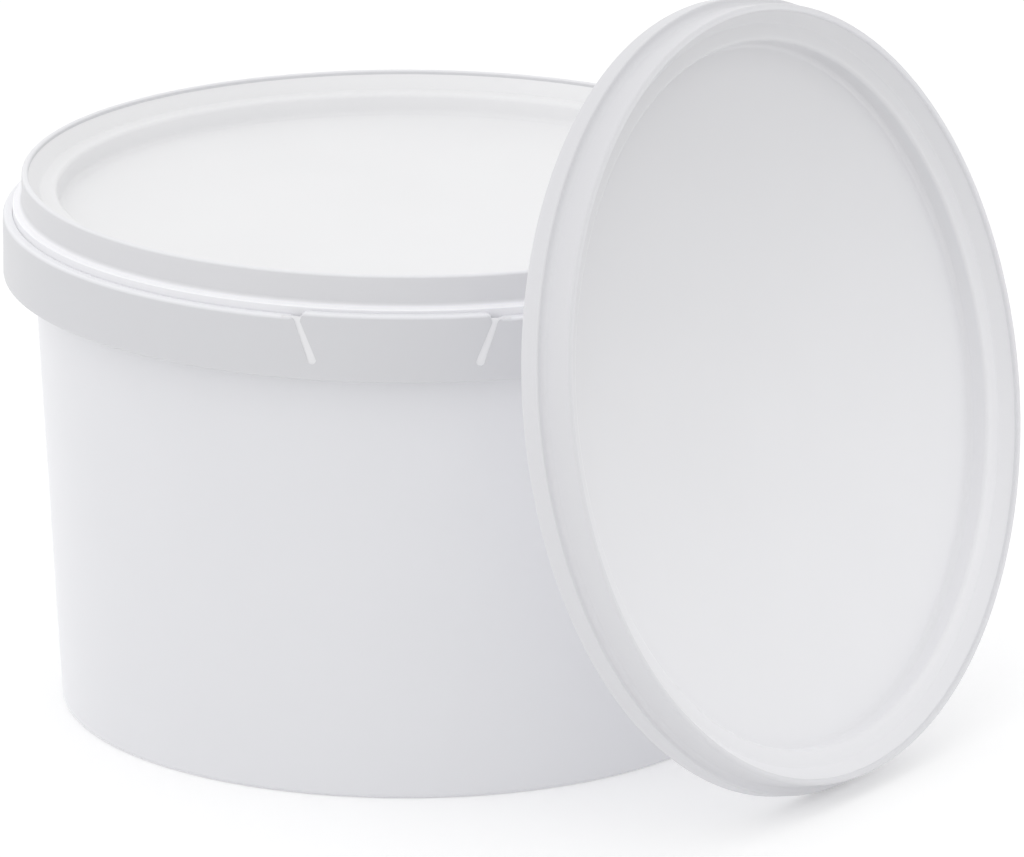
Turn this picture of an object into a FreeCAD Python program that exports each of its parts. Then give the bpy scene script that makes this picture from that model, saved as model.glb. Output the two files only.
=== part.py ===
"""Round food tub with a tear-tab collar, its seated press-on lid and a second lid leaning on it.

Units are millimetres and degrees, with +Z up. The tub stands on its foot ring. The loose lid
stands on the edge of its skirt, beside the tub, and leans back on the tub's collar, so that +X
is the way the loose lid leans. The origin lies on the ground, under the middle of the whole.
"""

import FreeCAD, Part
import math
import os

V = FreeCAD.Vector
Z_AXIS = V(0, 0, 1)
CENTRE = V(0, 0, 0)

# Overall sizes of the tub: the rim that the lid presses onto, and the ledge that its skirt meets
RIM_RADIUS = 62.1
LEDGE_HEIGHT = 81.6

# Base and wall
FOOT_RING_WIDTH = 3.2
FOOT_RECESS = 0.9
FOOT_ROUND = 0.9
BASE_STEP_RADIUS = 38.0
BASE_STEP = 0.5
GATE_NUB_RADIUS = 2.2
GATE_NUB_HEIGHT = 0.4
LEDGE_WALL = 1.0
WALL_INSET = 0.3

# Rim
RIM_WALL = 1.2
SNAP_BEAD = 0.5
SNAP_BEAD_HALF_HEIGHT = 0.7
SNAP_BEAD_FLAT = 0.4
SNAP_BEAD_LIFT = 1.9

# Collar: the outer band that hangs from the ledge and stands up round the lid's skirt
COLLAR_WALL = 1.3
COLLAR_DROP = 8.4
COLLAR_LIP = 2.0
COLLAR_ROUND = 0.4
EDGE_BREAK = 0.2
RIB_COUNT = 24
RIB_WALL = 1.0
RIB_SETBACK = 2.4
RIB_BITE = 0.5
RIB_CLEARANCE = 3.4

# Tear tab in the collar
TAB_AZIMUTH = -58.9
TAB_TOP_HALF_WIDTH = 15.1
TAB_FOOT_HALF_WIDTH = 12.8
TAB_RISE = 0.8
TAB_CORNER = 1.5
NOTCH_WIDTH = 1.4
NOTCH_FOOT = 2.7
NOTCH_MOUTH_ROUND = 1.1
WEB_WALL = 0.7
WEB_HEIGHT = 3.6
SCOOP_HEIGHT = 1.9
SCOOP_DEPTH = 0.55

# Lid, one section for both lids. Its height is the skirt, the flare and the upright band
SKIRT_HEIGHT = 3.2
FLARE_HEIGHT = 1.6
BAND_HEIGHT = 3.6
LID_WALL = 1.0
LIP_WIDTH = 1.1
LIP_ROUND = 0.4
FLARE_REACH = 1.5
FLARE_SAG = 0.3
SKIRT_WALL = 1.1
SKIRT_ROUND = 0.25
LID_BEAD_HALF_HEIGHT = 0.44
LID_BEAD_FLAT = 0.18
FACET_LIP = 0.7
FACET_DEPTH = 2.75
FACET_WIDTH = 1.9
SHELF_WIDTH = 2.9
RECESS_DEPTH = 6.3
RECESS_DRAFT = 0.15
RECESS_EDGE_ROUND = 0.7
RECESS_FILLET = 1.1

# Clearances and placing
SEAT_GAP = 0.2
SLIDE_GAP = 0.2
CATCH_GAP = 0.07
COLLAR_GAP = 0.3
STACK_GAP = 0.11
LEAN_GAP = 0.15
LEAN_ANGLE = 13.1
LEAN_SIDE_SHIFT = -5.2

# Sizes that follow from the ones above: the lid fits the rim, the collar fits the lid's skirt,
# and the tub's foot fits the recess of a lid below it in a stack
LID_HEIGHT = SKIRT_HEIGHT + FLARE_HEIGHT + BAND_HEIGHT
LID_BORE_RADIUS = RIM_RADIUS + SLIDE_GAP
LIP_RADIUS = LID_BORE_RADIUS + LIP_WIDTH
SKIRT_RADIUS = LIP_RADIUS + FLARE_REACH
SKIRT_BORE_RADIUS = SKIRT_RADIUS - SKIRT_WALL
BEAD_RADIUS = SKIRT_BORE_RADIUS - SLIDE_GAP
RIM_FOOT_RADIUS = BEAD_RADIUS - SNAP_BEAD
COLLAR_BORE_RADIUS = SKIRT_RADIUS + COLLAR_GAP
COLLAR_RADIUS = COLLAR_BORE_RADIUS + COLLAR_WALL
SHELF_RADIUS = LID_BORE_RADIUS - FACET_WIDTH
RECESS_RADIUS = SHELF_RADIUS - SHELF_WIDTH
RECESS_FLOOR_RADIUS = RECESS_RADIUS - RECESS_DRAFT
FOOT_RADIUS = RECESS_FLOOR_RADIUS - STACK_GAP
COLLAR_BOTTOM = LEDGE_HEIGHT - COLLAR_DROP
COLLAR_TOP = LEDGE_HEIGHT + COLLAR_LIP
TAB_TOP = COLLAR_TOP + TAB_RISE
SEAT_HEIGHT = LEDGE_HEIGHT + SEAT_GAP
WELL_INSIDE = 0.9 * COLLAR_BORE_RADIUS
WELL_OUTSIDE = 1.1 * COLLAR_RADIUS


def section_point(point):
    """Vector of a (radius, height) point in the half section."""
    return V(point[0], 0, point[1])


def profile_edges(steps):
    """Edges of a closed half section. A step is a point, or ("via", point) for an arc's middle."""
    edges = []
    here = section_point(steps[0])
    middle = None
    for step in list(steps[1:]) + [steps[0]]:
        if step[0] == "via":
            middle = section_point(step[1])
            continue
        there = section_point(step)
        if middle is None:
            edges.append(Part.makeLine(here, there))
        else:
            edges.append(Part.Arc(here, middle, there).toShape())
        middle = None
        here = there
    return edges


def revolve(steps):
    """Solid of revolution about Z from a closed half section."""
    face = Part.Face(Part.Wire(profile_edges(steps)))
    return face.revolve(CENTRE, Z_AXIS, 360)


def round_middle(centre, radius, degrees):
    """Middle step of a small round, seen from its centre at the given angle in the section."""
    turn = math.radians(degrees)
    return "via", (centre[0] + radius * math.cos(turn), centre[1] + radius * math.sin(turn))


def wall_radius(height):
    """Outer radius of the tub's wall, which widens evenly from the foot to the ledge."""
    return FOOT_RADIUS + (RIM_RADIUS - WALL_INSET - FOOT_RADIUS) * height / LEDGE_HEIGHT


def annulus(inner, outer, bottom, top):
    """Plain ring about Z."""
    ring = Part.makeCylinder(outer, top - bottom, V(0, 0, bottom))
    return ring.cut(Part.makeCylinder(inner, top - bottom, V(0, 0, bottom)))


def foot_steps():
    """Section of the base, the foot ring and the wall, from the axis up to the ledge."""
    ring_inner = FOOT_RADIUS - FOOT_RING_WIDTH
    under_ledge = LEDGE_HEIGHT - LEDGE_WALL
    return [
        (0, FOOT_RECESS + BASE_STEP),
        (BASE_STEP_RADIUS, FOOT_RECESS + BASE_STEP),
        (BASE_STEP_RADIUS + 2 * BASE_STEP, FOOT_RECESS),
        (ring_inner - FOOT_RECESS / 2, FOOT_RECESS),
        (ring_inner, 0),
        (FOOT_RADIUS - FOOT_ROUND, 0),
        round_middle((FOOT_RADIUS - FOOT_ROUND, FOOT_ROUND), FOOT_ROUND, -45),
        (wall_radius(FOOT_ROUND), FOOT_ROUND),
        (wall_radius(under_ledge), under_ledge),
    ]


def collar_steps():
    """Section of the collar, from under the ledge out, up and back in to the ledge."""
    under_ledge = LEDGE_HEIGHT - LEDGE_WALL
    round_centre = (COLLAR_RADIUS - COLLAR_ROUND, COLLAR_TOP - COLLAR_ROUND)
    return [
        (COLLAR_BORE_RADIUS, under_ledge),
        (COLLAR_BORE_RADIUS, COLLAR_BOTTOM),
        (COLLAR_RADIUS - EDGE_BREAK, COLLAR_BOTTOM),
        (COLLAR_RADIUS, COLLAR_BOTTOM + EDGE_BREAK),
        (COLLAR_RADIUS, COLLAR_TOP - COLLAR_ROUND),
        round_middle(round_centre, COLLAR_ROUND, 45),
        (COLLAR_RADIUS - COLLAR_ROUND, COLLAR_TOP),
        (COLLAR_BORE_RADIUS + EDGE_BREAK, COLLAR_TOP),
        (COLLAR_BORE_RADIUS, COLLAR_TOP - EDGE_BREAK),
        (COLLAR_BORE_RADIUS, LEDGE_HEIGHT),
    ]


def rim_steps():
    """Section of the rim under the lid, from the ledge over the snap bead to the closed inside."""
    bead = SEAT_HEIGHT + SNAP_BEAD_LIFT
    bead_top = bead + SNAP_BEAD_HALF_HEIGHT
    rim_top = SEAT_HEIGHT + LID_HEIGHT - FACET_DEPTH - LID_WALL - SEAT_GAP
    inside = SEAT_HEIGHT + LID_HEIGHT - RECESS_DEPTH - LID_WALL - SEAT_GAP
    return [
        (RIM_FOOT_RADIUS, LEDGE_HEIGHT),
        (RIM_FOOT_RADIUS, bead - SNAP_BEAD_HALF_HEIGHT),
        (BEAD_RADIUS, bead - SNAP_BEAD_FLAT / 2),
        (BEAD_RADIUS, bead + SNAP_BEAD_FLAT / 2),
        (RIM_FOOT_RADIUS, bead_top),
        (RIM_RADIUS, bead_top + FLARE_HEIGHT / 2),
        (RIM_RADIUS, rim_top - EDGE_BREAK),
        (RIM_RADIUS - EDGE_BREAK, rim_top),
        (RIM_RADIUS - RIM_WALL + EDGE_BREAK, rim_top),
        (RIM_RADIUS - RIM_WALL, rim_top - EDGE_BREAK),
        (RIM_RADIUS - RIM_WALL, inside),
        (0, inside),
    ]


def rib_turns():
    """Angles of the collar's ribs, seen from the tab, apart from those that it leaves out."""
    free = math.degrees((TAB_TOP_HALF_WIDTH + RIB_CLEARANCE) / COLLAR_RADIUS)
    for number in range(RIB_COUNT):
        turn = (number + 0.5) * 360.0 / RIB_COUNT
        if free < turn < 360.0 - free:
            yield turn


def collar_rib(turn):
    """One radial rib under the ledge, between the wall and the collar."""
    top = LEDGE_HEIGHT - LEDGE_WALL / 2
    foot = COLLAR_BOTTOM + RIB_SETBACK
    inner = wall_radius(foot) - RIB_BITE
    outer = COLLAR_BORE_RADIUS + RIB_BITE
    rib = Part.makeBox(outer - inner, RIB_WALL, top - foot, V(inner, -RIB_WALL / 2, foot))
    rib.rotate(CENTRE, Z_AXIS, turn)
    return rib


def prism(edges):
    """Pushes a closed outline on the tab's own plane, seen along +X, out through the collar."""
    face = Part.Face(Part.Wire(edges))
    face.translate(V(WELL_INSIDE, 0, 0))
    return face.extrude(V(WELL_OUTSIDE - WELL_INSIDE, 0, 0))


def tab_rise():
    """The tab's raised top, on the line of the collar. The notches cut its corners round."""
    low = (COLLAR_TOP + LEDGE_HEIGHT) / 2
    corners = [(-1, low), (1, low), (1, TAB_TOP), (-1, TAB_TOP), (-1, low)]
    outline = Part.makePolygon([V(0, side * TAB_TOP_HALF_WIDTH, height) for side, height in corners])
    return prism(outline.Edges).common(annulus(COLLAR_BORE_RADIUS, COLLAR_RADIUS, low, TAB_TOP))


def notch_outline(side, over):
    """Slot beside the tab: slanted walls, a round foot, a rounded mouth and the tab's round corner."""
    half = NOTCH_WIDTH / 2
    foot = COLLAR_BOTTOM + NOTCH_FOOT + half
    corner = TAB_TOP - TAB_CORNER
    mouth = COLLAR_TOP - NOTCH_MOUTH_ROUND
    slant = (TAB_TOP_HALF_WIDTH - TAB_FOOT_HALF_WIDTH) / (corner - foot)
    outer_foot = TAB_FOOT_HALF_WIDTH + NOTCH_WIDTH
    outer_mouth = outer_foot + slant * (mouth - foot)
    mouth_bend = NOTCH_MOUTH_ROUND * (1 - math.sqrt(0.5))
    corner_bend = TAB_CORNER * (1 - math.sqrt(0.5))

    def at(across, height):
        return V(0, side * across, height)

    inner_foot = at(TAB_FOOT_HALF_WIDTH, foot)
    outer_low = at(outer_foot, foot)
    outer_high = at(outer_mouth, mouth)
    lip = at(outer_mouth + NOTCH_MOUTH_ROUND, COLLAR_TOP)
    lip_over = at(outer_mouth + NOTCH_MOUTH_ROUND, over)
    tab_over = at(TAB_TOP_HALF_WIDTH - TAB_CORNER, over)
    tab_flat = at(TAB_TOP_HALF_WIDTH - TAB_CORNER, TAB_TOP)
    tab_side = at(TAB_TOP_HALF_WIDTH, corner)
    under = at(TAB_FOOT_HALF_WIDTH + half, foot - half)
    mouth_middle = at(outer_mouth + mouth_bend, COLLAR_TOP - mouth_bend)
    corner_middle = at(TAB_TOP_HALF_WIDTH - corner_bend, TAB_TOP - corner_bend)
    return [
        Part.Arc(inner_foot, under, outer_low).toShape(),
        Part.makeLine(outer_low, outer_high),
        Part.Arc(outer_high, mouth_middle, lip).toShape(),
        Part.makeLine(lip, lip_over),
        Part.makeLine(lip_over, tab_over),
        Part.makeLine(tab_over, tab_flat),
        Part.Arc(tab_flat, corner_middle, tab_side).toShape(),
        Part.makeLine(tab_side, inner_foot),
    ]


def notch(side):
    """Cutter for one notch: right through above the web, and down to the web's face below it."""
    over = TAB_TOP + TAB_RISE
    web_top = COLLAR_BOTTOM + NOTCH_FOOT + WEB_HEIGHT
    web_face = COLLAR_BORE_RADIUS + WEB_WALL / 2
    through = annulus(COLLAR_BORE_RADIUS - COLLAR_GAP / 2, WELL_OUTSIDE, LEDGE_HEIGHT, over)
    above_web = annulus(COLLAR_BORE_RADIUS - COLLAR_GAP / 2, WELL_OUTSIDE, web_top, LEDGE_HEIGHT)
    before_web = annulus(web_face, WELL_OUTSIDE, COLLAR_BOTTOM, web_top)
    return prism(notch_outline(side, over)).common(through.fuse(above_web).fuse(before_web))


def scoop():
    """Crescent relief under the tab's top edge, where a finger catches it."""
    half = TAB_TOP_HALF_WIDTH
    low = TAB_TOP - SCOOP_HEIGHT
    tall = 3 * SCOOP_HEIGHT
    outer_sag = COLLAR_RADIUS - math.sqrt(COLLAR_RADIUS ** 2 - half ** 2)
    sag = outer_sag - SCOOP_DEPTH
    radius = (half ** 2 + sag ** 2) / (2 * sag)
    lean = math.degrees(math.atan2(SCOOP_DEPTH, SCOOP_HEIGHT))
    kept = Part.makeCylinder(radius, 2 * tall, V(COLLAR_RADIUS - radius, 0, low - tall))
    kept.rotate(V(COLLAR_RADIUS, 0, low), V(0, 1, 0), -lean)
    zone = Part.makeBox(2 * COLLAR_WALL, 2 * half, tall, V(COLLAR_RADIUS - COLLAR_WALL, -half, low))
    return zone.cut(kept)


def make_tub():
    """The tub: turned body, ribs, raised tab, two notches, scoop and gate nub."""
    nub = Part.makeCylinder(GATE_NUB_RADIUS, 2 * GATE_NUB_HEIGHT,
                            V(0, 0, FOOT_RECESS + BASE_STEP - GATE_NUB_HEIGHT))
    added = [tab_rise(), nub] + [collar_rib(turn) for turn in rib_turns()]
    body = revolve(foot_steps() + collar_steps() + rim_steps()).multiFuse(added).removeSplitter()
    tub = body.cut([notch(-1), notch(1), scoop()]).Solids[0]
    tub.rotate(CENTRE, Z_AXIS, TAB_AZIMUTH)
    return tub


def lid_steps():
    """Half section of a lid, from its skirt's edge at height 0 to its lip."""
    flare_top = SKIRT_HEIGHT + FLARE_HEIGHT
    shelf = LID_HEIGHT - FACET_DEPTH
    panel = LID_HEIGHT - RECESS_DEPTH
    under = panel - LID_WALL
    facet_under = shelf + FACET_DEPTH * LID_WALL / FACET_WIDTH / 6
    bead = SNAP_BEAD_LIFT - SNAP_BEAD_HALF_HEIGHT - LID_BEAD_HALF_HEIGHT - CATCH_GAP
    bead_bore = RIM_FOOT_RADIUS + SLIDE_GAP
    return [
        (0, under),
        (RECESS_FLOOR_RADIUS + LID_WALL, under),
        (RECESS_RADIUS + LID_WALL, shelf - LID_WALL),
        (SHELF_RADIUS + LID_WALL / 2, shelf - LID_WALL),
        (LID_BORE_RADIUS - LID_WALL / 2, facet_under),
        (LID_BORE_RADIUS, facet_under),
        (LID_BORE_RADIUS, flare_top + SLIDE_GAP),
        (SKIRT_BORE_RADIUS, SKIRT_HEIGHT - SKIRT_ROUND),
        (SKIRT_BORE_RADIUS, bead + LID_BEAD_HALF_HEIGHT),
        (bead_bore, bead + LID_BEAD_FLAT / 2),
        (bead_bore, bead - LID_BEAD_FLAT / 2),
        (SKIRT_BORE_RADIUS, bead - LID_BEAD_HALF_HEIGHT),
        (SKIRT_BORE_RADIUS, 0),
        (SKIRT_RADIUS - SKIRT_ROUND, 0),
        (SKIRT_RADIUS, SKIRT_ROUND),
        (SKIRT_RADIUS, SKIRT_HEIGHT - SKIRT_ROUND),
        round_middle((SKIRT_RADIUS - SKIRT_ROUND, SKIRT_HEIGHT - SKIRT_ROUND), SKIRT_ROUND, 45),
        (SKIRT_RADIUS - SKIRT_ROUND, SKIRT_HEIGHT),
        ("via", (LIP_RADIUS + FLARE_SAG, SKIRT_HEIGHT + FLARE_SAG)),
        (LIP_RADIUS, flare_top),
        (LIP_RADIUS, LID_HEIGHT - LIP_ROUND),
        round_middle((LIP_RADIUS - LIP_ROUND, LID_HEIGHT - LIP_ROUND), LIP_ROUND, 45),
        (LIP_RADIUS - LIP_ROUND, LID_HEIGHT),
        (LID_BORE_RADIUS + LIP_ROUND, LID_HEIGHT),
        round_middle((LID_BORE_RADIUS + LIP_ROUND, LID_HEIGHT - LIP_ROUND), LIP_ROUND, 150),
        (LID_BORE_RADIUS, LID_HEIGHT - FACET_LIP),
        (SHELF_RADIUS, shelf),
        (RECESS_RADIUS + RECESS_EDGE_ROUND, shelf),
        round_middle((RECESS_RADIUS + RECESS_EDGE_ROUND, shelf - RECESS_EDGE_ROUND),
                     RECESS_EDGE_ROUND, 135),
        (RECESS_RADIUS, shelf - RECESS_EDGE_ROUND),
        (RECESS_FLOOR_RADIUS, panel + RECESS_FILLET),
        round_middle((RECESS_FLOOR_RADIUS - RECESS_FILLET, panel + RECESS_FILLET),
                     RECESS_FILLET, -45),
        (RECESS_FLOOR_RADIUS - RECESS_FILLET, panel),
        (0, panel),
    ]


def seat(lid):
    """Presses a lid onto the tub's rim."""
    lid.translate(V(0, 0, SEAT_HEIGHT))
    return lid


def lean(lid):
    """Stands a lid on its skirt's edge and leans its underside back on the collar's top edge."""
    turn = math.radians(LEAN_ANGLE)
    underside = LID_HEIGHT - RECESS_DEPTH - LID_WALL
    centre_height = SKIRT_RADIUS * math.cos(turn)
    reach = (COLLAR_TOP - centre_height) * math.sin(turn) - (underside - LEAN_GAP)
    centre_out = COLLAR_RADIUS + reach / math.cos(turn)
    lid.rotate(CENTRE, V(0, 1, 0), 90 - LEAN_ANGLE)
    lid.translate(V(centre_out, LEAN_SIDE_SHIFT, centre_height))
    return lid


def main():
    """Builds the three pieces, puts the origin under their middle and writes them."""
    pieces = {
        "tub": make_tub(),
        "lid": seat(revolve(lid_steps())),
        "loose_lid": lean(revolve(lid_steps())),
    }
    box = Part.makeCompound(list(pieces.values())).optimalBoundingBox()
    os.makedirs("parts", exist_ok=True)
    for node, shape in pieces.items():
        shape.translate(V(-box.Center.x, -box.Center.y, -box.ZMin))
        shape.exportStep(f"parts/{node}.step")
        size = shape.optimalBoundingBox()
        print(f"{node}: valid {shape.isValid()}, {shape.Volume / 1000:.2f} cm3, "
              f"{size.XLength:.2f} x {size.YLength:.2f} x {size.ZLength:.2f} mm")
    print(f"moved by {-box.Center.x:.3f}, {-box.Center.y:.3f}, {-box.ZMin:.3f}")


main()
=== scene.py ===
"""Studio scene of a round white food tub, its pressed-on lid and a spare lid leaning on it.

Everything is in metres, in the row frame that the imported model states: +Z up, the origin on the
ground under the middle of the whole, and +X the way the spare lid stands out from the tub.
"""

import logging
import math
from dataclasses import dataclass
from enum import Enum

import bmesh
import bpy
from mathutils import Matrix, Vector

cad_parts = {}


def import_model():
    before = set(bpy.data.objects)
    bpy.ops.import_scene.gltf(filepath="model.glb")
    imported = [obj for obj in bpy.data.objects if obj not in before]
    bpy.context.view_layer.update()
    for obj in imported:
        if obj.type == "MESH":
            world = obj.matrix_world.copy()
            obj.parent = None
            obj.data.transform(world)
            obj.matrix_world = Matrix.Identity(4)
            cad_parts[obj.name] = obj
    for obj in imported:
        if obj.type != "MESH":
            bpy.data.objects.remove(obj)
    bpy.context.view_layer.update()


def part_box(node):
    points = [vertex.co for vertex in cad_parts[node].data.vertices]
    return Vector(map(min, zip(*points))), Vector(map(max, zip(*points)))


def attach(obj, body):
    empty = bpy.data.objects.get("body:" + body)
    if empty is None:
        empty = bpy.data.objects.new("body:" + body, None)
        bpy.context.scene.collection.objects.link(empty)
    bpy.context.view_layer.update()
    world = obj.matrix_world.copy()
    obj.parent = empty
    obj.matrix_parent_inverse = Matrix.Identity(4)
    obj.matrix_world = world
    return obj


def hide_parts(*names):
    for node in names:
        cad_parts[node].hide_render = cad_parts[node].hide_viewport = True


log = logging.getLogger("food_tub")

MM = 0.001
WELD = 1e-6
ANGLE_SLACK = 0.001
WHITE = (1.0, 1.0, 1.0, 1.0)

# Rounds of moulded edges, in millimetres.
CRISP = 0.1
NEAT = 0.2
SOFT = 0.3
EASY = 0.5
FULL = 0.8


class Slot(Enum):
    """Names of the record's material slots."""

    TUB = "tub_plastic"
    LID = "lid_plastic"


class Side(Enum):
    """The two ends of the tear tab, seen from outside."""

    LEFT = -1
    RIGHT = 1


# --------------------------------------------------------------------------------------
# Outlines
# --------------------------------------------------------------------------------------


@dataclass(frozen=True)
class Corner:
    """One corner of a half section, with an optional round.

    Args:
        radius: Distance from the turning axis, in millimetres.
        height: Height in the piece's own frame, in millimetres.
        bend: Radius of the round at this corner, in millimetres.
    """

    radius: float
    height: float
    bend: float = 0.0

    def place(self) -> Vector:
        """The corner as a point of the section, in metres."""
        return Vector((self.radius * MM, 0.0, self.height * MM))


def round_corner(before: Vector, corner: Corner, after: Vector, steps: int) -> list[Vector]:
    """Points of the arc that rounds one corner of an outline.

    Args:
        before: The point that the outline comes from.
        corner: The corner and its round.
        after: The point that the outline goes to.
        steps: Chords in the arc.

    Returns:
        The arc's points in order, or the bare corner where it has no round.
    """
    here = corner.place()
    if corner.bend <= 0.0:
        return [here]
    back = (before - here).normalized()
    ahead = (after - here).normalized()
    half = back.angle(ahead) / 2
    tangent = corner.bend * MM / math.tan(half)
    centre = here + (back + ahead).normalized() * (corner.bend * MM / math.sin(half))
    first = here + back * tangent - centre
    last = here + ahead * tangent - centre
    sweep = first.angle(last)
    points = []
    for step in range(steps + 1):
        share = step / steps
        arm = first * math.sin((1 - share) * sweep) + last * math.sin(share * sweep)
        points.append(centre + arm / math.sin(sweep))
    return points


def arc(
    across: float, height: float, radius: float, start: float, sweep: float, steps: int
) -> list[tuple[float, float]]:
    """Points of an arc on an upright plane, as places across and up.

    Args:
        across: Place of the arc's centre across the plane.
        height: Height of its centre.
        radius: Its radius.
        start: Angle of its first point, in radians.
        sweep: Angle that it turns through, in radians, anticlockwise where positive.
        steps: Chords in the arc.
    """
    angles = [start + sweep * step / steps for step in range(steps + 1)]
    return [
        (across + radius * math.cos(angle), height + radius * math.sin(angle)) for angle in angles
    ]


def rounded(corners: list[Corner], steps: int = 7) -> list[Vector]:
    """An open outline with its corners rounded.

    Args:
        corners: The outline's corners, in order.
        steps: Chords in each round.

    Returns:
        The outline's points, in metres.
    """
    points = [corners[0].place()]
    for before, corner, after in zip(corners, corners[1:], corners[2:]):
        points += round_corner(points[-1], corner, after.place(), steps)
    points.append(corners[-1].place())
    return points


# --------------------------------------------------------------------------------------
# Modelling operators
# --------------------------------------------------------------------------------------


def deselect_all() -> None:
    """Leaves nothing selected, so that an operator acts on the new piece alone."""
    if bpy.context.object and bpy.context.object.mode != "OBJECT":
        bpy.ops.object.mode_set(mode="OBJECT")
    bpy.ops.object.select_all(action="DESELECT")


def make_active(piece: bpy.types.Object) -> None:
    """Selects one piece and makes it the active one."""
    deselect_all()
    piece.select_set(True)
    bpy.context.view_layer.objects.active = piece


def select_vertices(piece: bpy.types.Object, wanted) -> None:
    """Selects the vertices that a test picks, in edit mode.

    Args:
        piece: The active piece, in edit mode.
        wanted: A function of a vertex's place that says whether it is picked.
    """
    bpy.ops.mesh.select_mode(type="VERT")
    bpy.ops.mesh.select_all(action="DESELECT")
    mesh = bmesh.from_edit_mesh(piece.data)
    for vertex in mesh.verts:
        vertex.select_set(wanted(vertex.co))
    mesh.select_flush_mode()
    bmesh.update_edit_mesh(piece.data)


def turn_selected(axis: str, angle: float) -> None:
    """Turns what is selected in edit mode about an axis through the origin.

    Args:
        axis: X, Y or Z.
        angle: The turn, in radians.
    """
    bpy.ops.transform.rotate(
        value=angle, orient_axis=axis, orient_type="GLOBAL", center_override=(0.0, 0.0, 0.0)
    )


def start_point(name: str, place: Vector) -> bpy.types.Object:
    """Adds a primitive and collapses it to the single vertex that an outline grows from.

    Args:
        name: Name of the new piece.
        place: Place of the vertex, in metres.

    Returns:
        The new piece, left in edit mode with the vertex selected.
    """
    deselect_all()
    bpy.ops.mesh.primitive_plane_add(size=MM, location=(0.0, 0.0, 0.0))
    piece = bpy.context.object
    piece.name = name
    piece.data.name = name
    bpy.ops.object.mode_set(mode="EDIT")
    bpy.ops.mesh.select_all(action="SELECT")
    bpy.ops.mesh.merge(type="CENTER")
    bpy.ops.mesh.select_mode(type="VERT")
    bpy.ops.mesh.select_all(action="SELECT")
    bpy.ops.transform.translate(value=place)
    return piece


def grow_outline(name: str, points: list[Vector]) -> bpy.types.Object:
    """Grows a line of edges through the points by extruding a vertex again and again.

    Args:
        name: Name of the new piece.
        points: The outline's points, in metres.

    Returns:
        The new piece, left in edit mode.
    """
    piece = start_point(name, points[0])
    for here, ahead in zip(points, points[1:]):
        bpy.ops.mesh.extrude_vertices_move(TRANSFORM_OT_translate={"value": ahead - here})
    return piece


def turn(name: str, points: list[Vector], steps: int) -> bpy.types.Object:
    """Turns an outline about Z into a closed piece.

    Args:
        name: Name of the new piece.
        points: The half section's points, in metres, from axis to axis or closed on itself.
        steps: Facets round the piece.

    Returns:
        The finished mesh in object mode, with its normals outwards.
    """
    piece = grow_outline(name, points)
    bpy.ops.mesh.select_all(action="SELECT")
    bpy.ops.mesh.spin(steps=steps, angle=2 * math.pi, center=(0.0, 0.0, 0.0), axis=(0.0, 0.0, 1.0))
    bpy.ops.mesh.select_all(action="SELECT")
    bpy.ops.mesh.remove_doubles(threshold=WELD)
    bpy.ops.mesh.normals_make_consistent(inside=False)
    bpy.ops.object.mode_set(mode="OBJECT")
    return piece


def subtract(piece: bpy.types.Object, cutter: bpy.types.Object) -> None:
    """Cuts one solid out of a piece and deletes the cutter."""
    make_active(piece)
    cut = piece.modifiers.new("cut", "BOOLEAN")
    cut.operation = "DIFFERENCE"
    cut.solver = "EXACT"
    cut.object = cutter
    bpy.ops.object.modifier_apply(modifier=cut.name)
    bpy.data.objects.remove(cutter)


def smooth(piece: bpy.types.Object, limit: float) -> None:
    """Shades a piece smooth up to an edge angle, in degrees, and evens its normals by face area."""
    make_active(piece)
    bpy.ops.object.shade_smooth_by_angle(angle=math.radians(limit))
    even = piece.modifiers.new("even_normals", "WEIGHTED_NORMAL")
    even.keep_sharp = True
    even.weight = 50
    bpy.ops.object.modifier_apply(modifier=even.name)


def settle(piece: bpy.types.Object) -> None:
    """Bakes a piece's place into its mesh, so that its object sits at the origin unturned."""
    make_active(piece)
    bpy.ops.object.transform_apply(location=True, rotation=True, scale=True)


def swing(piece: bpy.types.Object, axis: str, degrees: float) -> None:
    """Turns a piece about an axis through the origin, anticlockwise, and bakes the turn in.

    Args:
        piece: The piece.
        axis: X, Y or Z.
        degrees: The turn.
    """
    settle(piece)
    piece.rotation_euler["XYZ".index(axis)] = math.radians(degrees)
    settle(piece)


def shift(piece: bpy.types.Object, way: Vector) -> None:
    """Moves a piece and bakes the move in."""
    settle(piece)
    bpy.ops.transform.translate(value=way)
    settle(piece)


# --------------------------------------------------------------------------------------
# Finishes
# --------------------------------------------------------------------------------------


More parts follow.
